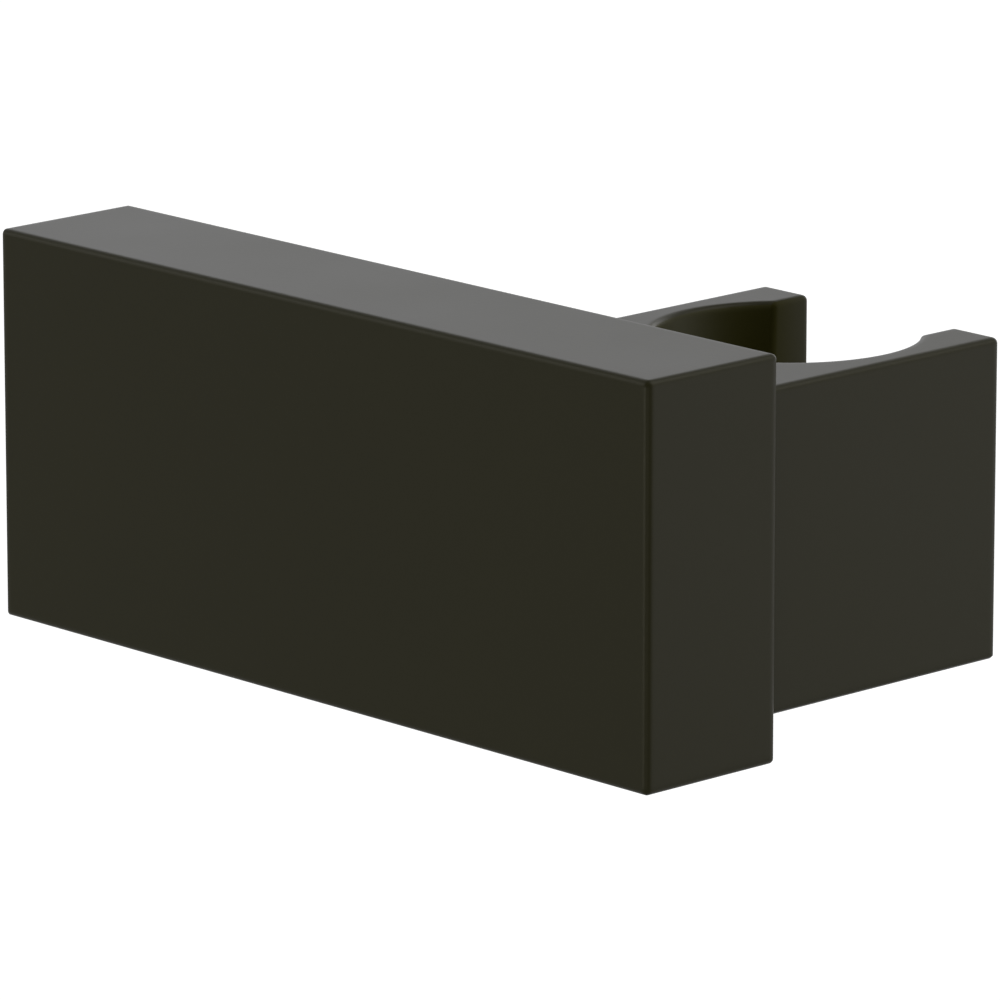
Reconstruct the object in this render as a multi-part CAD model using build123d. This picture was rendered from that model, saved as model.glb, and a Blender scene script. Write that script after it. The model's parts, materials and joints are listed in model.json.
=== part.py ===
from build123d import *
import math
import os

# Hand shower holder: a square arm stands out from the wall and carries a tilting cradle on one side.
# Millimetres, +Z up. Origin: centre of the arm's wall face. The wall is the plane y = 0, the arm runs
# along -Y, and the cradle is on the +X side and tilts about an axis along X.

# Arm
ARM_LENGTH = 88.3
ARM_HEIGHT = 38.0
ARM_THICKNESS = 16.25
ARM_EDGE_RADIUS = 0.5
ARM_WALL_EDGE_CHAMFER = 0.3
PIVOT_TO_FREE_END = 17.5

# Socket at the wall end of the arm, and the bracket in it
SOCKET_SIDE_WALL = 2.75
SOCKET_TOP_WALL = 4.0
SOCKET_BOTTOM_WALL = 4.0
SOCKET_CORNER_RADIUS = 1.5
BRACKET_DEPTH = 20.0
BRACKET_SIDE_CLEARANCE = 0.15
BRACKET_BOTTOM_CLEARANCE = 0.3
BRACKET_FRONT_CLEARANCE = 2.0
BRACKET_EDGE_CHAMFER = 0.5

# Two wall screws through the bracket, with flat counterbores for their pan heads
WALL_SCREW_HOLE_DIAMETER = 4.5
WALL_SCREW_EDGE_DISTANCE = 7.0
WALL_SCREW_SEAT_DEPTH = 9.0
WALL_SCREW_HEAD_DIAMETER = 8.0

# Set screw that locks the arm on the bracket from below
GRUB_DIAMETER = 5.0
GRUB_LENGTH = 6.0
GRUB_FROM_WALL = 5.5
GRUB_RECESS = 0.5
GRUB_POINT_CHAMFER = 0.8
GRUB_HEX = 2.5
GRUB_HEX_DEPTH = 2.5
GRUB_SEAT_CLEARANCE = 0.2
GRUB_HOLE_CHAMFER = 0.3

# Cradle: a tapered seat for the hose nut, with a slot that lets the hose in from the side
SEAT_TOP_DIAMETER = 24.8
SEAT_TAPER = 3.0
CRADLE_SIDE_WALL = 2.85
SLOT_WIDTH = 18.75
PRONG_REACH = 12.55
CRADLE_CORNER_RADIUS = 0.6
CRADLE_RIM_RADIUS = 0.55
CRADLE_BOTTOM_CHAMFER = 0.25
CLAMPED_WALL = 2.8

# Pivot: shoulder screw, flanged bush, a pair of disc springs and a friction disc
SHOULDER_DIAMETER = 6.0
PIVOT_THREAD_DIAMETER = 5.0
PIVOT_THREAD_LENGTH = 9.0
PIVOT_HOLE_SPARE_DEPTH = 1.0
PIVOT_HEAD_DIAMETER = 10.0
PIVOT_HEAD_HEIGHT = 1.6
PIVOT_HEAD_RECESS = 0.18
PIVOT_HEAD_CHAMFER = 0.25
PIVOT_HEX = 3.0
PIVOT_HEX_DEPTH = 2.4
BUSH_WALL = 1.0
BUSH_FLANGE_DIAMETER = 11.0
BUSH_FLANGE_THICKNESS = 0.6
COUNTERBORE_CLEARANCE = 0.3
SPRING_DIAMETER = 10.4
SPRING_THICKNESS = 0.4
SPRING_CONE_HEIGHT = 0.3
FRICTION_DISC_DIAMETER = 18.0
FRICTION_DISC_THICKNESS = 1.2
FRICTION_DISC_CLEARANCE = 0.15
RUNNING_GAP = 0.4

# Stop: a dowel in the arm runs in an arc groove in the back of the cradle
TILT_LIMIT = 45.0
STOP_PIN_DIAMETER = 3.0
STOP_PIN_LENGTH = 6.0
STOP_PIN_PROUD = 2.0
STOP_PIN_CHAMFER = 0.3
STOP_PIN_WALL = 1.6
STOP_GROOVE_CLEARANCE = 0.2
STOP_GROOVE_SPARE_DEPTH = 0.6
STOP_SPARE_ANGLE = 0.5

# Fits, each on the radius or between two faces
RUNNING_CLEARANCE = 0.05
SPRING_CLEARANCE = 0.1
THREAD_CLEARANCE = 0.05
PRESS_CLEARANCE = 0.01
FACE_PLAY = 0.02

# Arm and socket
ARM_SIDE_X = ARM_THICKNESS / 2
ARM_TOP_Z = ARM_HEIGHT / 2
SOCKET_WIDTH = ARM_THICKNESS - 2 * SOCKET_SIDE_WALL
SOCKET_TOP_Z = ARM_TOP_Z - SOCKET_TOP_WALL
SOCKET_BOTTOM_Z = -ARM_TOP_Z + SOCKET_BOTTOM_WALL
SOCKET_DEPTH = BRACKET_DEPTH + BRACKET_FRONT_CLEARANCE
BRACKET_WIDTH = SOCKET_WIDTH - 2 * BRACKET_SIDE_CLEARANCE
BRACKET_TOP_Z = SOCKET_TOP_Z
BRACKET_BOTTOM_Z = SOCKET_BOTTOM_Z + BRACKET_BOTTOM_CLEARANCE
BRACKET_CORNER_CHAMFER = SOCKET_CORNER_RADIUS
WALL_SCREW_HEIGHTS = (SOCKET_BOTTOM_Z + WALL_SCREW_EDGE_DISTANCE, SOCKET_TOP_Z - WALL_SCREW_EDGE_DISTANCE)
GRUB_START_Z = -ARM_TOP_Z + GRUB_RECESS
GRUB_POINT_Z = GRUB_START_Z + GRUB_LENGTH

# Cradle, counted in X from the arm's side
PIVOT_Y = PIVOT_TO_FREE_END - ARM_LENGTH
PIVOT_AXIS = Axis((0, PIVOT_Y, 0), (1, 0, 0))
CRADLE_SIDE = SEAT_TOP_DIAMETER + 2 * CRADLE_SIDE_WALL
CRADLE_TOP_Z = CRADLE_SIDE / 2
TAPER_PER_MM = math.tan(math.radians(SEAT_TAPER))
SEAT_MIDDLE_DIAMETER = SEAT_TOP_DIAMETER - 2 * CRADLE_TOP_Z * TAPER_PER_MM
CRADLE_BACK_X = ARM_SIDE_X + RUNNING_GAP
BUSH_SEAT_X = CRADLE_BACK_X + CLAMPED_WALL
SPRING_SEAT_X = BUSH_SEAT_X + BUSH_FLANGE_THICKNESS + FACE_PLAY
SPRING_MIDDLE_X = SPRING_SEAT_X + SPRING_CONE_HEIGHT + SPRING_THICKNESS
HEAD_SEAT_X = 2 * SPRING_MIDDLE_X - SPRING_SEAT_X
HEAD_FACE_X = HEAD_SEAT_X + PIVOT_HEAD_HEIGHT
SEAT_WALL_X = HEAD_FACE_X + PIVOT_HEAD_RECESS
SEAT_X = SEAT_WALL_X + SEAT_MIDDLE_DIAMETER / 2
PRONG_END_X = SEAT_X + PRONG_REACH

# Pivot and stop
DISC_FACE_X = CRADLE_BACK_X - FACE_PLAY
DISC_SEAT_X = DISC_FACE_X - FRICTION_DISC_THICKNESS
THREAD_END_X = DISC_SEAT_X - PIVOT_THREAD_LENGTH
BUSH_DIAMETER = SHOULDER_DIAMETER + 2 * (RUNNING_CLEARANCE + BUSH_WALL)
SPRING_BORE = SHOULDER_DIAMETER + 2 * SPRING_CLEARANCE
COUNTERBORE_DIAMETER = BUSH_FLANGE_DIAMETER + 2 * COUNTERBORE_CLEARANCE
DISC_RECESS_DIAMETER = FRICTION_DISC_DIAMETER + 2 * FRICTION_DISC_CLEARANCE
STOP_RADIUS = DISC_RECESS_DIAMETER / 2 + STOP_PIN_WALL + STOP_PIN_DIAMETER / 2
STOP_PIN_END_X = ARM_SIDE_X + STOP_PIN_PROUD
STOP_PIN_SEAT_X = STOP_PIN_END_X - STOP_PIN_LENGTH
STOP_GROOVE_END_X = STOP_PIN_END_X + STOP_GROOVE_SPARE_DEPTH
CUT_SPARE = 1.0


def rod_x(diameter, x_from, x_to, y=PIVOT_Y, z=0.0):
    """Round bar along X between two planes, on the pivot axis unless placed elsewhere."""
    section = Plane(origin=(x_from, y, z), x_dir=(0, 1, 0), z_dir=(1, 0, 0)) * Circle(diameter / 2)
    return extrude(section, x_to - x_from)


def rod_y(diameter, y_from, y_to, x, z):
    """Round bar along Y between two planes."""
    section = Plane(origin=(x, y_from, z), x_dir=(1, 0, 0), z_dir=(0, 1, 0)) * Circle(diameter / 2)
    return extrude(section, y_to - y_from)


def rod_z(diameter, z_from, z_to, x, y):
    """Round bar along Z between two planes."""
    section = Plane(origin=(x, y, z_from)) * Circle(diameter / 2)
    return extrude(section, z_to - z_from)


def hexagon(across_flats):
    """Hexagon drawn by its width across flats."""
    return RegularPolygon(across_flats / 2, 6, major_radius=False)


def ring_edges(solid, x, diameter):
    """The circular edges of one diameter that lie in one plane across the pivot axis."""
    flat = [e for e in solid.edges().filter_by(GeomType.CIRCLE) if abs(e.center().X - x) < FACE_PLAY]
    return [e for e in flat if abs(2 * e.radius - diameter) < FACE_PLAY]


def out_from_wall(section, bottom_z, top_z, depth):
    """A section drawn on the wall plane midway between two heights and extruded along the arm."""
    middle_z = (bottom_z + top_z) / 2
    plane = Plane(origin=(0, 0, middle_z), x_dir=(1, 0, 0), z_dir=(0, -1, 0))
    return extrude(plane * section, depth)


def make_arm():
    """Square bar with soft edges: socket at the wall end, pivot seat and pin hole on the cradle side."""
    arm = Pos(0, -ARM_LENGTH / 2, 0) * Box(ARM_THICKNESS, ARM_LENGTH, ARM_HEIGHT)
    wall_edges = arm.faces().sort_by(Axis.Y)[-1].edges()
    arm = fillet(arm.edges() - wall_edges, ARM_EDGE_RADIUS)
    arm = chamfer(arm.faces().sort_by(Axis.Y)[-1].edges(), ARM_WALL_EDGE_CHAMFER)

    socket = RectangleRounded(SOCKET_WIDTH, SOCKET_TOP_Z - SOCKET_BOTTOM_Z, SOCKET_CORNER_RADIUS)
    arm -= out_from_wall(socket, SOCKET_BOTTOM_Z, SOCKET_TOP_Z, SOCKET_DEPTH)

    tapped_diameter = GRUB_DIAMETER + 2 * THREAD_CLEARANCE
    arm -= rod_z(tapped_diameter, -ARM_TOP_Z, SOCKET_BOTTOM_Z, 0, -GRUB_FROM_WALL)
    mouth_radius = tapped_diameter / 2 + GRUB_HOLE_CHAMFER
    mouth = Cone(mouth_radius, tapped_diameter / 2, GRUB_HOLE_CHAMFER)
    arm -= Pos(0, -GRUB_FROM_WALL, -ARM_TOP_Z + GRUB_HOLE_CHAMFER / 2) * mouth

    arm -= rod_x(DISC_RECESS_DIAMETER, DISC_SEAT_X, ARM_SIDE_X + CUT_SPARE)
    tapped_diameter = PIVOT_THREAD_DIAMETER + 2 * THREAD_CLEARANCE
    arm -= rod_x(tapped_diameter, THREAD_END_X - PIVOT_HOLE_SPARE_DEPTH, DISC_SEAT_X)
    pin_hole_diameter = STOP_PIN_DIAMETER + 2 * PRESS_CLEARANCE
    arm -= rod_x(pin_hole_diameter, STOP_PIN_SEAT_X, ARM_SIDE_X + CUT_SPARE, z=STOP_RADIUS)
    return arm


def make_wall_bracket():
    """Length of chamfered bar that screws to the wall and fills the arm's socket."""
    bar = Rectangle(BRACKET_WIDTH, BRACKET_TOP_Z - BRACKET_BOTTOM_Z)
    bar = chamfer(bar.vertices(), BRACKET_CORNER_CHAMFER)
    bracket = out_from_wall(bar, BRACKET_BOTTOM_Z, BRACKET_TOP_Z, BRACKET_DEPTH)
    front_edges = bracket.faces().sort_by(Axis.Y)[0].edges()
    bracket = chamfer(front_edges, BRACKET_EDGE_CHAMFER)

    for z in WALL_SCREW_HEIGHTS:
        bracket -= rod_y(WALL_SCREW_HOLE_DIAMETER, -BRACKET_DEPTH, 0, 0, z)
        bracket -= rod_y(WALL_SCREW_HEAD_DIAMETER, -BRACKET_DEPTH, -WALL_SCREW_SEAT_DEPTH, 0, z)

    seat_diameter = GRUB_DIAMETER + 2 * GRUB_SEAT_CLEARANCE
    bracket -= rod_z(seat_diameter, BRACKET_BOTTOM_Z, GRUB_POINT_Z, 0, -GRUB_FROM_WALL)
    return bracket


def make_grub_screw():
    """Set screw with a flat chamfered point and a hexagon socket in its lower end."""
    screw = rod_z(GRUB_DIAMETER, GRUB_START_Z, GRUB_POINT_Z, 0, -GRUB_FROM_WALL)
    point_edge = screw.edges().filter_by(GeomType.CIRCLE).sort_by(Axis.Z)[-1]
    screw = chamfer(point_edge, GRUB_POINT_CHAMFER)
    socket = Plane(origin=(0, -GRUB_FROM_WALL, GRUB_START_Z)) * hexagon(GRUB_HEX)
    return screw - extrude(socket, GRUB_HEX_DEPTH)


def slot_plan():
    """Hose slot from the seat's axis outwards, with a mouth that rounds the tips of the two prongs."""
    plan = Pos(PRONG_REACH / 2, 0) * Rectangle(PRONG_REACH, SLOT_WIDTH)
    plan += Pos(PRONG_REACH + CUT_SPARE / 2, 0) * Rectangle(CUT_SPARE, CRADLE_SIDE)
    mouth_corners = plan.vertices().group_by(Axis.X)[1].sort_by(Axis.Y)[1:3]
    return fillet(mouth_corners, CRADLE_CORNER_RADIUS)


def make_cradle():
    """Square block with the tapered seat, the hose slot, the pivot counterbore and the stop groove."""
    depth = PRONG_END_X - CRADLE_BACK_X
    middle_x = (PRONG_END_X + CRADLE_BACK_X) / 2
    cradle = Pos(middle_x, PIVOT_Y, 0) * Box(depth, CRADLE_SIDE, CRADLE_SIDE)
    cradle = fillet(cradle.edges().filter_by(Axis.Z), CRADLE_CORNER_RADIUS)
    cradle = chamfer(cradle.faces().sort_by(Axis.Z)[0].edges(), CRADLE_BOTTOM_CHAMFER)

    seat_bottom_diameter = 2 * SEAT_MIDDLE_DIAMETER - SEAT_TOP_DIAMETER
    seat = Cone(seat_bottom_diameter / 2, SEAT_TOP_DIAMETER / 2, CRADLE_SIDE)
    cradle -= Pos(SEAT_X, PIVOT_Y, 0) * seat
    cradle -= extrude(Pos(SEAT_X, PIVOT_Y, -CRADLE_TOP_Z) * slot_plan(), CRADLE_SIDE)

    curved_edges = cradle.edges().filter_by(GeomType.LINE, reverse=True)
    lip_edges = [e for e in curved_edges if e.bounding_box().size.Z > CRADLE_SIDE / 2]
    cradle = fillet(lip_edges, CRADLE_CORNER_RADIUS)
    cradle = fillet(cradle.faces().sort_by(Axis.Z)[-1].edges(), CRADLE_RIM_RADIUS)

    cradle -= rod_x(BUSH_DIAMETER + 2 * PRESS_CLEARANCE, CRADLE_BACK_X, BUSH_SEAT_X)
    cradle -= rod_x(COUNTERBORE_DIAMETER, BUSH_SEAT_X, SEAT_X)

    half_angle = TILT_LIMIT + STOP_SPARE_ANGLE
    path = CenterArc((0, 0), STOP_RADIUS, 90 - half_angle, 2 * half_angle)
    groove = SlotArc(path, STOP_PIN_DIAMETER + 2 * STOP_GROOVE_CLEARANCE)
    plane = Plane(origin=(CRADLE_BACK_X, PIVOT_Y, 0), x_dir=(0, 1, 0), z_dir=(1, 0, 0))
    return cradle - extrude(plane * groove, STOP_GROOVE_END_X - CRADLE_BACK_X)


def make_pivot_screw():
    """Shoulder screw: low head in the seat's back wall, shoulder in the bush, thread in the arm."""
    screw = rod_x(PIVOT_HEAD_DIAMETER, HEAD_SEAT_X, HEAD_FACE_X)
    screw = chamfer(ring_edges(screw, HEAD_FACE_X, PIVOT_HEAD_DIAMETER), PIVOT_HEAD_CHAMFER)
    screw += rod_x(SHOULDER_DIAMETER, DISC_SEAT_X, HEAD_SEAT_X)
    screw += rod_x(PIVOT_THREAD_DIAMETER, THREAD_END_X, DISC_SEAT_X)
    plane = Plane(origin=(HEAD_FACE_X, PIVOT_Y, 0), x_dir=(0, 1, 0), z_dir=(-1, 0, 0))
    return screw - extrude(plane * hexagon(PIVOT_HEX), PIVOT_HEX_DEPTH)


def make_pivot_bush():
    """Flanged bush pressed into the cradle, running on the screw's shoulder."""
    bush = rod_x(BUSH_DIAMETER, CRADLE_BACK_X, BUSH_SEAT_X)
    bush += rod_x(BUSH_FLANGE_DIAMETER, BUSH_SEAT_X, BUSH_SEAT_X + BUSH_FLANGE_THICKNESS)
    bore_diameter = SHOULDER_DIAMETER + 2 * RUNNING_CLEARANCE
    return bush - rod_x(bore_diameter, CRADLE_BACK_X, BUSH_SEAT_X + BUSH_FLANGE_THICKNESS)


def make_disc_springs():
    """Two conical springs set rim to rim between the bush flange and the screw head."""
    inner_y = PIVOT_Y + SPRING_BORE / 2
    outer_y = PIVOT_Y + SPRING_DIAMETER / 2
    section = Polygon(
        (SPRING_SEAT_X, inner_y),
        (SPRING_SEAT_X + SPRING_THICKNESS, inner_y),
        (SPRING_MIDDLE_X, outer_y),
        (SPRING_MIDDLE_X - SPRING_THICKNESS, outer_y),
        align=None,
    )
    spring = revolve(section, PIVOT_AXIS)
    return [spring, mirror(spring, Plane(origin=(SPRING_MIDDLE_X, 0, 0), z_dir=(1, 0, 0)))]


def make_friction_disc():
    """Flat ring in the arm's side that the cradle turns against."""
    disc = rod_x(FRICTION_DISC_DIAMETER, DISC_SEAT_X, DISC_FACE_X)
    return disc - rod_x(SHOULDER_DIAMETER + 2 * SPRING_CLEARANCE, DISC_SEAT_X, DISC_FACE_X)


def make_stop_pin():
    """Dowel pressed into the arm above the pivot."""
    pin = rod_x(STOP_PIN_DIAMETER, STOP_PIN_SEAT_X, STOP_PIN_END_X, z=STOP_RADIUS)
    return chamfer(pin.edges().filter_by(GeomType.CIRCLE), STOP_PIN_CHAMFER)


def main():
    pieces = {
        "arm": make_arm(),
        "wall_bracket": make_wall_bracket(),
        "grub_screw": make_grub_screw(),
        "cradle": make_cradle(),
        "pivot_screw": make_pivot_screw(),
        "pivot_bush": make_pivot_bush(),
        "disc_springs": Compound(children=make_disc_springs()),
        "friction_disc": make_friction_disc(),
        "stop_pin": make_stop_pin(),
    }
    os.makedirs("parts", exist_ok=True)
    for name, piece in pieces.items():
        export_step(piece, f"parts/{name}.step")


main()
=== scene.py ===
"""Hand shower holder: the finishes of its pieces, its threaded screws, and the studio stage."""

import json
import math

import bmesh
import bpy
from bpy.props import FloatProperty, FloatVectorProperty, PointerProperty
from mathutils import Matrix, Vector


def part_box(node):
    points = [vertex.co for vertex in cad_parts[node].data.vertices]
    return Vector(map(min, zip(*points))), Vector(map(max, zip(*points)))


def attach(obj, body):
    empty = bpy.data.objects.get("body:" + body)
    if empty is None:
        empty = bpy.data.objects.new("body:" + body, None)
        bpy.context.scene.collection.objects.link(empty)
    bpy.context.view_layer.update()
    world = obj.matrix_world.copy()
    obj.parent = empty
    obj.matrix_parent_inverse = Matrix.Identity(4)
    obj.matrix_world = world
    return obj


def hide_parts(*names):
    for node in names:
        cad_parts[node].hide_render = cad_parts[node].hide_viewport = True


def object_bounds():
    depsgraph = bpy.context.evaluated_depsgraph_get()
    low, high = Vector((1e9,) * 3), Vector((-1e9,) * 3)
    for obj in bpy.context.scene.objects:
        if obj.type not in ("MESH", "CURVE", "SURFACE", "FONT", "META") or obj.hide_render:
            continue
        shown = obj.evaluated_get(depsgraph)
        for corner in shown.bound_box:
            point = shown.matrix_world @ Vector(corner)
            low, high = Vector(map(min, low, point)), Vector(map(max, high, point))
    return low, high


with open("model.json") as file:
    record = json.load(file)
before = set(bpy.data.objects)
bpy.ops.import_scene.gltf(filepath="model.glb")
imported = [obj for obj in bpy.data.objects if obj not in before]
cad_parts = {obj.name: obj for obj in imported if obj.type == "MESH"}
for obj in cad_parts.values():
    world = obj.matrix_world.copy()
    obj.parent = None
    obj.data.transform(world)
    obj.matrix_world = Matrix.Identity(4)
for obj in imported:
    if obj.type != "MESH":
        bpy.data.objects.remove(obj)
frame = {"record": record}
CAD_LOW, CAD_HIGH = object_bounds()

bl_info = {
    "name": "Hand shower holder",
    "version": (1, 0, 0),
    "blender": (4, 5, 0),
    "location": "View3D > Sidebar > Holder",
    "description": "Dresses the holder's pieces, cuts its screw threads and sets the studio stage",
    "category": "Object",
}

MM = 0.001
MICRON = 0.001 * MM
SHARP_ANGLE = math.radians(32)

# Coat: faint clouds, dimples and softened edges
CLOUD_WIDTH = 20.0 * MM
CLOUD_SHADES = (0.92, 1.08)
CLOUD_ROUGHNESS = 0.02
DIMPLE_DEPTH = 4 * MICRON
EDGE_SAMPLES = 16

# Painted shade in the recesses: a warmer colour and duller gloss in the seat, and in the slot, where it
# fades towards the mouth, counted from the seat's axis
SEAT_RADIUS = 12.45 * MM
SEAT_DULLING = 0.10
SLOT_HALF_WIDTH = 9.7 * MM
SLOT_START = 7.5 * MM
SLOT_END = 14.0 * MM
SLOT_DULLING = 0.42

# Bare metals: stains and tool marks
STAIN_WIDTH = 6.0 * MM
STAIN_SHADES = (0.82, 1.08)
STAIN_DULLER = 0.06
STAIN_BRIGHTER = 0.04
METAL_MARK_DEPTH = 6 * MICRON

# Plastics: mottling and tool marks
MOTTLE_WIDTH = 3.0 * MM
MOTTLE_SHADES = (0.94, 1.04)
MOTTLE_ROUGHNESS = 0.03
PLASTIC_MARK_DEPTH = 5 * MICRON

# Patterns: fineness of the noise, and the marks of a lathe tool and a cutter
SOFT_DETAIL = 2.0
STAIN_DETAIL = 4.0
LATHE_RINGS = {"Scale": 1300.0, "Distortion": 0.6, "Detail": 2.0}
CUTTER_BANDS = {"Scale": 380.0, "Distortion": 1.2, "Detail": 3.0, "Detail Scale": 2.0}

# Roughness of each bare piece
ROUGHNESS = {
    "wall_bracket": 0.34,
    "shoulder_screw": 0.26,
    "set_screw": 0.30,
    "disc_springs": 0.36,
    "stop_pin": 0.24,
    "pivot_bush": 0.42,
    "friction_disc": 0.45,
}

# Colour sockets of a mix node
MIX_FROM = 6
MIX_TO = 7
MIX_RESULT = 2

# Screws: columns round a mesh, sections in one turn of thread, and small edges
COLUMNS = 72
SECTIONS_PER_TURN = 12
THREAD_SLOPE = 2.6
THREAD_FLAT = 0.2
CORNER = 0.12 * MM
RELIEF = 0.9 * MM
SET_SCREW_POINT = 0.8 * MM
SET_SCREW_CHAMFER = 0.3 * MM

# Key sockets: lead-in as shares of the corner radius, drilled floor as shares of the width across flats
SOCKET_LEAD = 0.06
SOCKET_RUN = 0.2
DRILL_RADIUS = 0.46
DRILL_CONE = 0.14
DRILL_TIP = 0.04

# Stage: the floor's lift to white grows from near to far, so that the shadow below the holder stays
FLOOR_HALF = 3.0
FLOOR_GREY = (0.5, 0.5, 0.5, 1.0)
NEAR_FLOOR = 0.18
FAR_FLOOR = 1.0
NEAR_LIFT = 0.52
FAR_LIFT = 0.80
SOFT_LIGHT = 0.38
SENSOR_WIDTH = 36.0
CLIP_START = 0.01
CLIP_END = 20.0
WHITE = (1.0, 1.0, 1.0, 1.0)
NEUTRAL = (1.0, 1.0, 1.0)
COOL = (0.87, 0.88, 1.0)
LAMPS = (
    # name, place in metres, width and height in metres, watts, colour
    ("back_lamp", (0.40, 0.70, 0.24), (0.70, 0.35), 0.47, COOL),
    ("right_lamp", (0.40, -0.46, -0.03), (0.55, 0.28), 0.76, COOL),
    ("left_lamp", (-0.62, 0.08, -0.11), (0.30, 0.13), 1.0, NEUTRAL),
    ("front_lamp", (-0.45, -0.45, -0.10), (0.30, 0.12), 0.42, NEUTRAL),
    ("left_back_lamp", (-1.16, 1.20, 0.80), (1.00, 1.16), 9.6, NEUTRAL),
    ("top_lamp", (0.38, -0.45, 0.55), (0.45, 0.75), 3.6, NEUTRAL),
    ("side_lamp", (0.75, 0.12, 0.15), (0.50, 0.40), 1.0, NEUTRAL),
)


class PaintSettings(bpy.types.PropertyGroup):
    """Matt black powder coat on the arm and the cradle."""

    colour: FloatVectorProperty(
        name="Paint colour",
        description="Warm black of the coat",
        subtype="COLOR",
        size=3,
        min=0.0,
        max=1.0,
        default=(0.0090, 0.0083, 0.0017),
    )
    # Painted shade: this warmer colour stands in for the shade in the seat and the slot
    recess_shade_colour: FloatVectorProperty(
        name="Thin coat colour",
        description="Warmer black in the seat and the slot, where the coat is thin",
        subtype="COLOR",
        size=3,
        min=0.0,
        max=1.0,
        default=(0.0135, 0.0124, 0.0003),
    )
    sheen_tint: FloatVectorProperty(
        name="Gloss tint",
        description="Tint of the coat's reflections where it is seen square on",
        subtype="COLOR",
        size=3,
        min=0.0,
        max=1.0,
        default=(1.0, 0.97, 0.80),
    )
    roughness: FloatProperty(
        name="Roughness",
        description="How far the coat spreads a reflection",
        subtype="FACTOR",
        min=0.0,
        max=1.0,
        default=0.38,
    )
    refraction: FloatProperty(
        name="Refractive index",
        description="Low for a dead matt coat, so that only grazing views shine",
        min=1.0,
        max=2.0,
        default=1.185,
    )
    grain: FloatProperty(
        name="Grain",
        description="Width of the fine dimples that the powder leaves",
        subtype="DISTANCE",
        unit="LENGTH",
        default=0.4 * MM,
    )
    edge_build: FloatProperty(
        name="Edge build-up",
        description="How far the powder that gathers at an edge softens it",
        subtype="DISTANCE",
        unit="LENGTH",
        default=0.8 * MM,
    )


class MetalSettings(bpy.types.PropertyGroup):
    """Bare metals and plastics of the bracket, the screws and the pivot."""

    brass: FloatVectorProperty(
        name="Brass",
        description="Milled brass of the wall bracket",
        subtype="COLOR",
        size=3,
        min=0.0,
        max=1.0,
        default=(0.60, 0.41, 0.17),
    )
    stainless: FloatVectorProperty(
        name="Stainless steel",
        description="Turned steel of the screws and the stop pin",
        subtype="COLOR",
        size=3,
        min=0.0,
        max=1.0,
        default=(0.56, 0.55, 0.53),
    )
    spring_steel: FloatVectorProperty(
        name="Spring steel",
        description="Oiled steel of the disc springs",
        subtype="COLOR",
        size=3,
        min=0.0,
        max=1.0,
        default=(0.16, 0.16, 0.18),
    )
    natural_acetal: FloatVectorProperty(
        name="Natural acetal",
        description="Milky plastic of the pivot bush",
        subtype="COLOR",
        size=3,
        min=0.0,
        max=1.0,
        default=(0.72, 0.70, 0.62),
    )
    black_acetal: FloatVectorProperty(
        name="Black acetal",
        description="Dark plastic of the friction disc",
        subtype="COLOR",
        size=3,
        min=0.0,
        max=1.0,
        default=(0.012, 0.012, 0.012),
    )


class ScrewSettings(bpy.types.PropertyGroup):
    """Threads, heads and sockets of the pivot screw and the set screw."""

    pitch: FloatProperty(
        name="Thread pitch",
        description="Rise of both threads in one turn",
        subtype="DISTANCE",
        unit="LENGTH",
        default=0.8 * MM,
    )
    thread_depth: FloatProperty(
        name="Thread depth",
        description="Height of both threads from root to crest",
        subtype="DISTANCE",
        unit="LENGTH",
        default=0.43 * MM,
    )
    thread_diameter: FloatProperty(
        name="Thread diameter",
        description="Width of both threads over their crests",
        subtype="DISTANCE",
        unit="LENGTH",
        default=5.0 * MM,
    )
    pivot_thread_length: FloatProperty(
        name="Pivot thread length",
        description="Length of the pivot screw's thread",
        subtype="DISTANCE",
        unit="LENGTH",
        default=9.0 * MM,
    )
    shoulder_diameter: FloatProperty(
        name="Shoulder diameter",
        description="Width of the ground shoulder that the cradle's bush turns on",
        subtype="DISTANCE",
        unit="LENGTH",
        default=6.0 * MM,
    )
    head_height: FloatProperty(
        name="Head height",
        description="Height of the pivot screw's low head",
        subtype="DISTANCE",
        unit="LENGTH",
        default=1.6 * MM,
    )
    pivot_key: FloatProperty(
        name="Pivot key size",
        description="Width across the flats of the pivot screw's socket",
        subtype="DISTANCE",
        unit="LENGTH",
        default=3.0 * MM,
    )
    set_key: FloatProperty(
        name="Set screw key size",
        description="Width across the flats of the set screw's socket",
        subtype="DISTANCE",
        unit="LENGTH",
        default=2.5 * MM,
    )
    socket_depth: FloatProperty(
        name="Socket depth",
        description="Depth of both key sockets",
        subtype="DISTANCE",
        unit="LENGTH",
        default=2.4 * MM,
    )


class StageSettings(bpy.types.PropertyGroup):
    """Camera and floor."""

    azimuth: FloatProperty(
        name="Azimuth",
        description="Turn of the camera about the vertical",
        subtype="ANGLE",
        unit="ROTATION",
        default=math.radians(-43.34),
    )
    elevation: FloatProperty(
        name="Elevation",
        description="Height of the camera above the horizon",
        subtype="ANGLE",
        unit="ROTATION",
        default=math.radians(13.91),
    )
    distance: FloatProperty(
        name="Distance",
        description="From the camera to its aim",
        subtype="DISTANCE",
        unit="LENGTH",
        default=0.8229,
    )
    aim_drop: FloatProperty(
        name="Aim drop",
        description="How far the aim lies below the middle of the holder in the picture",
        subtype="DISTANCE",
        unit="LENGTH",
        default=3.57 * MM,
    )
    lens: FloatProperty(
        name="Lens",
        description="Focal length of the camera in millimetres",
        subtype="DISTANCE_CAMERA",
        unit="CAMERA",
        default=315.3,
    )
    floor_drop: FloatProperty(
        name="Floor drop",
        description="Height of the holder above the floor",
        subtype="DISTANCE",
        unit="LENGTH",
        default=0.16,
    )


def new_material(name):
    """An empty node material with its principled shader and its tree."""
    material = bpy.data.materials.new(name)
    material.use_nodes = True
    tree = material.node_tree
    return material, tree, tree.nodes["Principled BSDF"]


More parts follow.
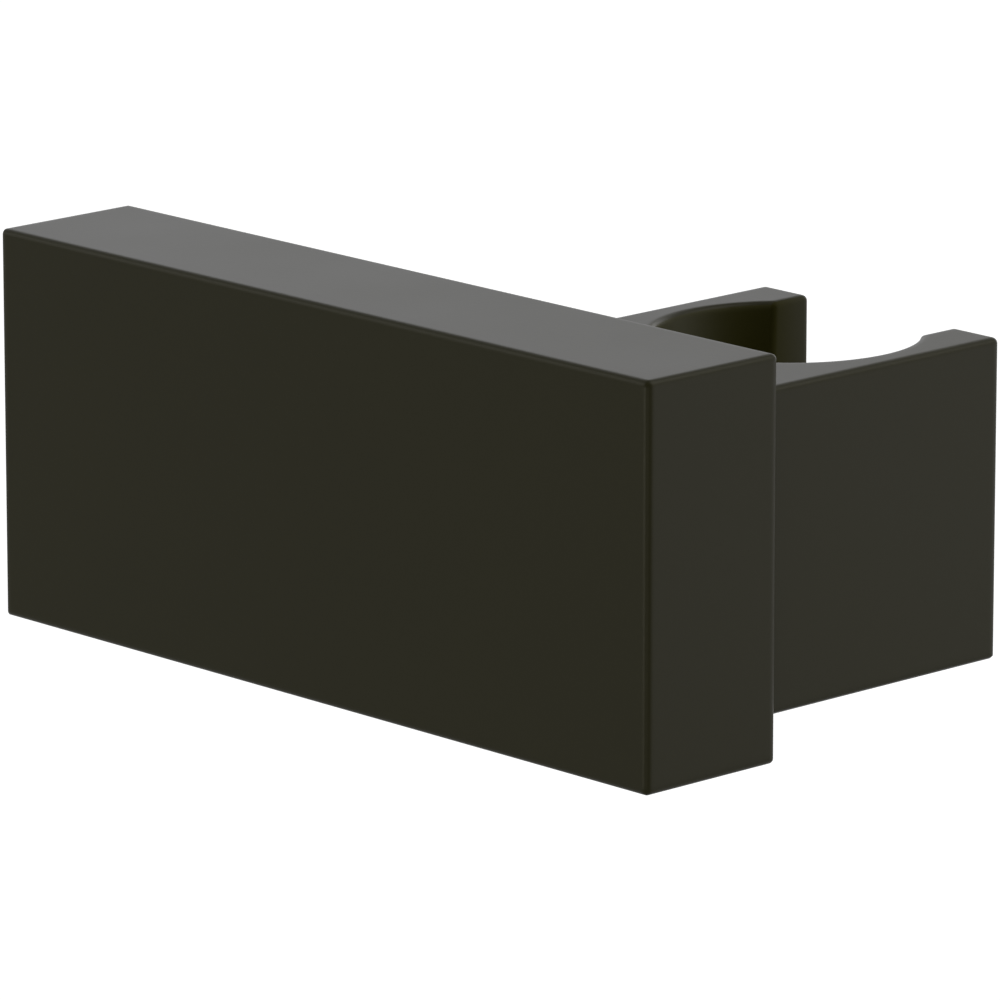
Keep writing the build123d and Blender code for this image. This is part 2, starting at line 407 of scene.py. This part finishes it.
def add_node(tree, kind, inputs=None, **settings):
    """One node with its plain settings and its unlinked inputs."""
    node = tree.nodes.new(kind)
    for key, value in settings.items():
        setattr(node, key, value)
    for key, value in (inputs or {}).items():
        node.inputs[key].default_value = value
    return node


def math_node(tree, operation, *terms):
    """One sum whose terms are numbers or other nodes' outputs."""
    node = add_node(tree, "ShaderNodeMath", operation=operation)
    for socket, term in zip(node.inputs, terms):
        if isinstance(term, (int, float)):
            socket.default_value = term
        else:
            tree.links.new(term, socket)
    return node.outputs["Value"]


def object_coordinates(tree):
    """The piece's own coordinates, in metres, which are the holder's frame."""
    return add_node(tree, "ShaderNodeTexCoord").outputs["Object"]


def counted_from(tree, where, point):
    """The coordinates, counted from a point."""
    shift = add_node(tree, "ShaderNodeVectorMath", operation="SUBTRACT")
    shift.inputs[1].default_value = point
    tree.links.new(where, shift.inputs[0])
    return shift.outputs["Vector"]


def length_of(tree, vector):
    """How long a vector is."""
    node = add_node(tree, "ShaderNodeVectorMath", operation="LENGTH")
    tree.links.new(vector, node.inputs[0])
    return node.outputs["Value"]


def noise(tree, where, width, detail=SOFT_DETAIL):
    """Soft noise whose blobs are about one width across."""
    node = add_node(tree, "ShaderNodeTexNoise", {"Scale": 1.0 / width, "Detail": detail})
    tree.links.new(where, node.inputs["Vector"])
    return node.outputs["Fac"]


def between(tree, factor, low, high, start=0.0, end=1.0):
    """A value that runs from low to high as the factor runs from start to end."""
    span = {"From Min": start, "From Max": end, "To Min": low, "To Max": high}
    node = add_node(tree, "ShaderNodeMapRange", span)
    tree.links.new(factor, node.inputs["Value"])
    return node.outputs["Result"]


def shades(tree, factor, colour, low, high):
    """The colour, darkened and lightened by the factor."""
    ramp = add_node(tree, "ShaderNodeValToRGB")
    for stop, share in zip(ramp.color_ramp.elements, (low, high)):
        stop.color = (*(min(1.0, c * share) for c in colour), 1.0)
    tree.links.new(factor, ramp.inputs["Fac"])
    return ramp.outputs["Color"]


def bump(tree, shader, height, depth, below=None):
    """Relief of a real depth in metres, on top of the normals of another node if one is given."""
    node = add_node(tree, "ShaderNodeBump", {"Strength": 1.0, "Distance": depth})
    tree.links.new(height, node.inputs["Height"])
    if below is not None:
        tree.links.new(below.outputs["Normal"], node.inputs["Normal"])
    tree.links.new(node.outputs["Normal"], shader.inputs["Normal"])


def turned(node, axis="X"):
    """Fine rings about the middle of one node of the holder, as a lathe tool leaves them."""
    low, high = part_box(node)
    centre = (low + high) / 2

    def rings(tree, where):
        wave = add_node(
            tree, "ShaderNodeTexWave", LATHE_RINGS, wave_type="RINGS", rings_direction=axis
        )
        tree.links.new(counted_from(tree, where, centre), wave.inputs["Vector"])
        return wave.outputs["Fac"]

    return rings


def milled(tree, where):
    """Straight cutter marks across a milled block."""
    wave = add_node(tree, "ShaderNodeTexWave", CUTTER_BANDS, wave_type="BANDS", bands_direction="Z")
    tree.links.new(where, wave.inputs["Vector"])
    return wave.outputs["Fac"]


def mount_place(name):
    """Where one mount of the holder lies."""
    return next(mount["pos_m"] for mount in frame["record"]["mounts"] if mount["name"] == name)


def recess_shade_masks(tree, where):
    """Two shares for the painted shade and duller gloss: in the seat, and in the slot, fading towards its
    mouth.
    """
    split = add_node(tree, "ShaderNodeSeparateXYZ")
    tree.links.new(counted_from(tree, where, mount_place("hose_nut_seat")), split.inputs["Vector"])
    along = split.outputs["X"]
    across = math_node(tree, "ABSOLUTE", split.outputs["Y"])
    flat = add_node(tree, "ShaderNodeCombineXYZ")
    tree.links.new(along, flat.inputs["X"])
    tree.links.new(across, flat.inputs["Y"])
    in_seat = math_node(tree, "LESS_THAN", length_of(tree, flat.outputs["Vector"]), SEAT_RADIUS)
    within = math_node(tree, "LESS_THAN", across, SLOT_HALF_WIDTH)
    past = math_node(tree, "GREATER_THAN", along, SLOT_START)
    slot = math_node(tree, "MULTIPLY", within, past)
    fade = between(tree, along, 1.0, 0.0, SLOT_START, SLOT_END)
    return in_seat, math_node(tree, "MULTIPLY", slot, fade)


def coat_material(settings):
    """Matt black powder coat: dimpled, faintly cloudy, soft at edges, duller in the seat and the slot,
    where a warmer colour is painted shade.
    """
    material, tree, shader = new_material("matt_black_coat")
    where = object_coordinates(tree)
    cloud = noise(tree, where, CLOUD_WIDTH)
    in_seat, in_slot = recess_shade_masks(tree, where)
    # The seat and the slot take the warmer colour, which is painted shade of these recesses
    mix = add_node(tree, "ShaderNodeMix", data_type="RGBA")
    tree.links.new(math_node(tree, "MAXIMUM", in_seat, in_slot), mix.inputs["Factor"])
    tree.links.new(shades(tree, cloud, settings.colour, *CLOUD_SHADES), mix.inputs[MIX_FROM])
    tree.links.new(shades(tree, cloud, settings.recess_shade_colour, *CLOUD_SHADES), mix.inputs[MIX_TO])
    tree.links.new(mix.outputs[MIX_RESULT], shader.inputs["Base Color"])
    smoothest = settings.roughness - CLOUD_ROUGHNESS
    roughest = settings.roughness + CLOUD_ROUGHNESS
    rough = between(tree, cloud, smoothest, roughest)
    rough = math_node(tree, "MULTIPLY_ADD", in_seat, SEAT_DULLING, rough)
    rough = math_node(tree, "MULTIPLY_ADD", in_slot, SLOT_DULLING, rough)
    tree.links.new(rough, shader.inputs["Roughness"])
    shader.inputs["IOR"].default_value = settings.refraction
    shader.inputs["Specular Tint"].default_value = (*settings.sheen_tint, 1.0)
    edges = add_node(tree, "ShaderNodeBevel", {"Radius": settings.edge_build}, samples=EDGE_SAMPLES)
    bump(tree, shader, noise(tree, where, settings.grain), DIMPLE_DEPTH, below=edges)
    return material


def metal_material(name, colour, roughness, marks):
    """Bare metal whose tool marks come from a function of the tree and the coordinates."""
    material, tree, shader = new_material(name)
    where = object_coordinates(tree)
    stain = noise(tree, where, STAIN_WIDTH, STAIN_DETAIL)
    tree.links.new(shades(tree, stain, colour, *STAIN_SHADES), shader.inputs["Base Color"])
    rough = between(tree, stain, roughness + STAIN_DULLER, roughness - STAIN_BRIGHTER)
    tree.links.new(rough, shader.inputs["Roughness"])
    shader.inputs["Metallic"].default_value = 1.0
    bump(tree, shader, marks(tree, where), METAL_MARK_DEPTH)
    return material


def plastic_material(name, colour, roughness, marks):
    """Turned acetal, faintly mottled, with tool marks from a function as for metal."""
    material, tree, shader = new_material(name)
    where = object_coordinates(tree)
    mottle = noise(tree, where, MOTTLE_WIDTH)
    tree.links.new(shades(tree, mottle, colour, *MOTTLE_SHADES), shader.inputs["Base Color"])
    rough = between(tree, mottle, roughness - MOTTLE_ROUGHNESS, roughness + MOTTLE_ROUGHNESS)
    tree.links.new(rough, shader.inputs["Roughness"])
    bump(tree, shader, marks(tree, where), PLASTIC_MARK_DEPTH)
    return material


def put_material(name, material):
    """Gives a piece its one material and smooth faces with sharp edges kept."""
    mesh = bpy.data.objects[name].data
    mesh.materials.clear()
    mesh.materials.append(material)
    mesh.shade_smooth()
    mesh.set_sharp_from_angle(angle=SHARP_ANGLE)


def circle(radius):
    """A round section: one radius at every angle."""
    return lambda angle: radius


def hexagon(across_flats):
    """A hexagonal section: its radius at each angle."""
    sixth = math.pi / 3
    return lambda angle: across_flats / 2 / math.cos((angle % sixth) - sixth / 2)


def thread(place, screws, tip):
    """A section through a screw thread at one place along its axis, no wider than the tip there."""
    major = screws.thread_diameter / 2

    def radius(angle):
        turn = (place / screws.pitch - angle / (2 * math.pi)) % 1.0
        rise = min(1.0, max(0.0, THREAD_SLOPE * abs(turn - 0.5) - THREAD_FLAT))
        return min(tip, major - screws.thread_depth * rise)

    return radius


def thread_sections(screws, end, start_chamfer, end_chamfer):
    """Sections of a thread from the screw's tip to its end, chamfered at both."""
    major = screws.thread_diameter / 2
    count = round(end / screws.pitch * SECTIONS_PER_TURN)
    sections = []
    for step in range(count + 1):
        place = end * step / count
        tip = major - max(0.0, start_chamfer - place, end_chamfer - (end - place))
        sections.append((place, thread(place, screws, tip)))
    return sections


def key_socket(face, across_flats, depth):
    """Sections of a key socket sunk from a face: lead-in, flats and the drilled floor."""
    corner = across_flats / 2 / math.cos(math.pi / 6)
    floor = face - depth
    return [
        (face, circle(corner * (1 + SOCKET_LEAD))),
        (face - corner * SOCKET_LEAD, circle(corner)),
        (face - corner * SOCKET_RUN, hexagon(across_flats)),
        (floor, hexagon(across_flats)),
        (floor, circle(across_flats * DRILL_RADIUS)),
        (floor - across_flats * DRILL_CONE, circle(across_flats * DRILL_TIP)),
    ]


def pivot_screw_sections(screws, length, head):
    """Sections of the shoulder screw: thread, relief, ground shoulder, and a head with a key socket."""
    shoulder = screws.shoulder_diameter / 2
    shoulder_start = screws.pivot_thread_length
    seat = length - screws.head_height
    thread_end = shoulder_start - RELIEF
    root = screws.thread_diameter / 2 - screws.thread_depth
    sections = thread_sections(screws, thread_end, screws.thread_depth, screws.thread_depth)
    sections += [
        (thread_end + CORNER, circle(root)),
        (shoulder_start, circle(root)),
        (shoulder_start, circle(shoulder - CORNER)),
        (shoulder_start + CORNER, circle(shoulder)),
        (seat - 3 * CORNER, circle(shoulder)),
        (seat - 2 * CORNER, circle(shoulder - CORNER)),
        (seat, circle(shoulder - CORNER)),
        (seat, circle(head - CORNER)),
        (seat + CORNER, circle(head)),
        (length - 2 * CORNER, circle(head)),
        (length, circle(head - 2 * CORNER)),
    ]
    return sections + key_socket(length, screws.pivot_key, screws.socket_depth)


def set_screw_sections(screws, length):
    """Sections of the set screw: a flat point, thread all along, and a key socket."""
    sections = [(0.0, circle(screws.thread_diameter / 2 - SET_SCREW_POINT))]
    sections += thread_sections(screws, length, SET_SCREW_POINT, SET_SCREW_CHAMFER)
    return sections + key_socket(length, screws.set_key, screws.socket_depth)


def lathe_piece(name, sections, origin, along, first_side):
    """A closed mesh through sections along an axis: each is a place and a radius at each angle."""
    origin, along, side = Vector(origin), Vector(along), Vector(first_side)
    other = along.cross(side)
    angles = [2 * math.pi * step / COLUMNS for step in range(COLUMNS)]
    work = bmesh.new()
    rings = []
    for place, radius in sections:
        centre = origin + along * place
        ring = [centre + (side * math.cos(a) + other * math.sin(a)) * radius(a) for a in angles]
        rings.append([work.verts.new(point) for point in ring])
    for low, high in zip(rings, rings[1:]):
        for step in range(COLUMNS):
            after = (step + 1) % COLUMNS
            work.faces.new((low[step], low[after], high[after], high[step]))
    work.faces.new(rings[0])
    work.faces.new(rings[-1])
    bmesh.ops.recalc_face_normals(work, faces=work.faces)
    mesh = bpy.data.meshes.new(name)
    work.to_mesh(mesh)
    work.free()
    piece = bpy.data.objects.new(name, mesh)
    bpy.context.scene.collection.objects.link(piece)
    return piece


def stands_for(piece, node, body):
    """Puts a new piece in a node's place and on its body."""
    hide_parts(node)
    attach(piece, body)


def seen_rays(tree):
    """1 for camera, glossy and transmission rays, 0 for the rays that carry light about."""
    path = add_node(tree, "ShaderNodeLightPath")
    seen = path.outputs["Is Camera Ray"]
    for name in ("Is Glossy Ray", "Is Transmission Ray"):
        seen = math_node(tree, "MAXIMUM", seen, path.outputs[name])
    return seen


def floor_material():
    """Pale grey that takes light and shadow, lifted to white for seen rays, and clear from below."""
    material, tree, shader = new_material("pale_floor")
    shader.inputs["Base Color"].default_value = FLOOR_GREY
    shader.inputs["Roughness"].default_value = 1.0
    shader.inputs["IOR"].default_value = 1.0
    shader.inputs["Emission Color"].default_value = WHITE
    reach = length_of(tree, object_coordinates(tree))
    lift = between(tree, reach, NEAR_LIFT, FAR_LIFT, NEAR_FLOOR, FAR_FLOOR)
    tree.links.new(math_node(tree, "MULTIPLY", seen_rays(tree), lift), shader.inputs["Emission Strength"])
    clear = add_node(tree, "ShaderNodeBsdfTransparent")
    side = add_node(tree, "ShaderNodeNewGeometry")
    mix = add_node(tree, "ShaderNodeMixShader")
    tree.links.new(side.outputs["Backfacing"], mix.inputs["Fac"])
    tree.links.new(shader.outputs["BSDF"], mix.inputs[1])
    tree.links.new(clear.outputs["BSDF"], mix.inputs[2])
    tree.links.new(mix.outputs["Shader"], tree.nodes["Material Output"].inputs["Surface"])
    return material


def add_floor(scene, stage):
    """Pale square floor below the holder."""
    z = CAD_LOW.z - stage.floor_drop
    signs = ((-1, -1), (1, -1), (1, 1), (-1, 1))
    corners = [(x * FLOOR_HALF, y * FLOOR_HALF, z) for x, y in signs]
    mesh = bpy.data.meshes.new("floor")
    mesh.from_pydata(corners, [], [(0, 1, 2, 3)])
    mesh.materials.append(floor_material())
    floor = bpy.data.objects.new("floor", mesh)
    scene.collection.objects.link(floor)


def add_background(scene):
    """Even soft light from all round, which shows as white to the eye and in reflections."""
    world = bpy.data.worlds.new("studio")
    scene.world = world
    world.use_nodes = True
    tree = world.node_tree
    background = tree.nodes["Background"]
    background.inputs["Color"].default_value = WHITE
    tree.links.new(between(tree, seen_rays(tree), SOFT_LIGHT, 1.0), background.inputs["Strength"])


def add_lamps(scene):
    """Large soft lamps aimed at the holder."""
    middle = (CAD_LOW + CAD_HIGH) / 2
    for name, place, size, watts, colour in LAMPS:
        data = bpy.data.lights.new(name, "AREA")
        data.color = colour
        data.shape = "RECTANGLE"
        data.size, data.size_y = size
        data.energy = watts
        lamp = bpy.data.objects.new(name, data)
        lamp.location = place
        lamp.rotation_euler = (middle - Vector(place)).to_track_quat("-Z", "Y").to_euler()
        lamp.visible_camera = False
        scene.collection.objects.link(lamp)


def add_camera(scene, stage):
    """A long lens at the picture's viewing angle."""
    data = bpy.data.cameras.new("camera")
    data.sensor_width = SENSOR_WIDTH
    data.lens = stage.lens
    data.clip_start = CLIP_START
    data.clip_end = CLIP_END
    camera = bpy.data.objects.new("camera", data)
    scene.collection.objects.link(camera)
    flat = math.cos(stage.elevation)
    back = Vector(
        (math.sin(stage.azimuth) * flat, -math.cos(stage.azimuth) * flat, math.sin(stage.elevation))
    )
    turn = (-back).to_track_quat("-Z", "Y")
    aim = (CAD_LOW + CAD_HIGH) / 2 - turn @ Vector((0, 1, 0)) * stage.aim_drop
    camera.location = aim + back * stage.distance
    camera.rotation_euler = turn.to_euler()
    scene.camera = camera


class HOLDER_OT_castings(bpy.types.Operator):
    """Coats the arm and the cradle with matt black powder"""

    bl_idname = "holder.castings"
    bl_label = "Coat arm and cradle"

    def execute(self, context):
        coat = coat_material(context.scene.holder_paint)
        for name in ("arm", "cradle"):
            put_material(name, coat)
        return {"FINISHED"}


class HOLDER_OT_bracket(bpy.types.Operator):
    """Gives the wall bracket its milled brass"""

    bl_idname = "holder.bracket"
    bl_label = "Finish wall bracket"

    def execute(self, context):
        brass = context.scene.holder_metals.brass
        finish = metal_material("milled_brass", brass, ROUGHNESS["wall_bracket"], milled)
        put_material("wall_bracket", finish)
        return {"FINISHED"}


class HOLDER_OT_pivot_screw(bpy.types.Operator):
    """Turns the shoulder screw that the cradle tilts on"""

    bl_idname = "holder.pivot_screw"
    bl_label = "Make pivot screw"

    def execute(self, context):
        low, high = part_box("pivot_screw")
        centre = (low + high) / 2
        head = (high.y - low.y) / 2
        sections = pivot_screw_sections(context.scene.holder_screws, high.x - low.x, head)
        tip = (low.x, centre.y, centre.z)
        piece = lathe_piece("shoulder_screw", sections, tip, (1, 0, 0), (0, 0, 1))
        stands_for(piece, "pivot_screw", "arm")
        steel = context.scene.holder_metals.stainless
        marks = turned("pivot_screw")
        put_material(piece.name, metal_material("turned_screw", steel, ROUGHNESS[piece.name], marks))
        return {"FINISHED"}


class HOLDER_OT_set_screw(bpy.types.Operator):
    """Cuts the set screw that locks the arm on its bracket"""

    bl_idname = "holder.set_screw"
    bl_label = "Make set screw"

    def execute(self, context):
        low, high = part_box("grub_screw")
        centre = (low + high) / 2
        sections = set_screw_sections(context.scene.holder_screws, high.z - low.z)
        tip = (centre.x, centre.y, high.z)
        piece = lathe_piece("set_screw", sections, tip, (0, 0, -1), (1, 0, 0))
        stands_for(piece, "grub_screw", "arm")
        steel = context.scene.holder_metals.stainless
        marks = turned("grub_screw", "Z")
        put_material(piece.name, metal_material("rolled_screw", steel, ROUGHNESS[piece.name], marks))
        return {"FINISHED"}


class HOLDER_OT_pivot(bpy.types.Operator):
    """Finishes the springs, the bush, the friction disc and the stop pin"""

    bl_idname = "holder.pivot"
    bl_label = "Finish pivot pieces"

    def execute(self, context):
        metals = context.scene.holder_metals
        finishes = (
            ("disc_springs", metal_material, metals.spring_steel),
            ("stop_pin", metal_material, metals.stainless),
            ("pivot_bush", plastic_material, metals.natural_acetal),
            ("friction_disc", plastic_material, metals.black_acetal),
        )
        for node, finish, colour in finishes:
            put_material(node, finish("turned_" + node, colour, ROUGHNESS[node], turned(node)))
        return {"FINISHED"}


class HOLDER_OT_stage(bpy.types.Operator):
    """Sets the floor, the background, the lamps and the camera"""

    bl_idname = "holder.stage"
    bl_label = "Set studio stage"

    def execute(self, context):
        scene = context.scene
        stage = scene.holder_stage
        scene.view_settings.view_transform = "Standard"
        add_floor(scene, stage)
        add_background(scene)
        add_lamps(scene)
        add_camera(scene, stage)
        return {"FINISHED"}


class HOLDER_PT_panel(bpy.types.Panel):
    """Lists the settings and the steps that dress the holder"""

    bl_idname = "HOLDER_PT_panel"
    bl_label = "Hand shower holder"
    bl_space_type = "VIEW_3D"
    bl_region_type = "UI"
    bl_category = "Holder"

    def draw(self, context):
        for name, group in SETTINGS.items():
            box = self.layout.box()
            for key in group.__annotations__:
                box.prop(getattr(context.scene, name), key)
        for operator in OPERATORS:
            self.layout.operator(operator.bl_idname)


SETTINGS = {
    "holder_paint": PaintSettings,
    "holder_metals": MetalSettings,
    "holder_screws": ScrewSettings,
    "holder_stage": StageSettings,
}
OPERATORS = (
    HOLDER_OT_castings,
    HOLDER_OT_bracket,
    HOLDER_OT_pivot_screw,
    HOLDER_OT_set_screw,
    HOLDER_OT_pivot,
    HOLDER_OT_stage,
)
CLASSES = (*SETTINGS.values(), *OPERATORS, HOLDER_PT_panel)


def register():
    """Adds the settings, the operators and the panel."""
    for cls in CLASSES:
        bpy.utils.register_class(cls)
    for name, group in SETTINGS.items():
        setattr(bpy.types.Scene, name, PointerProperty(type=group))


def unregister():
    """Takes them away again."""
    for name in SETTINGS:
        delattr(bpy.types.Scene, name)
    for cls in reversed(CLASSES):
        bpy.utils.unregister_class(cls)


def main():
    """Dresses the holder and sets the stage."""
    register()
    bpy.ops.holder.castings()
    bpy.ops.holder.bracket()
    bpy.ops.holder.pivot_screw()
    bpy.ops.holder.set_screw()
    bpy.ops.holder.pivot()
    bpy.ops.holder.stage()


if __name__ == "__main__":
    main()
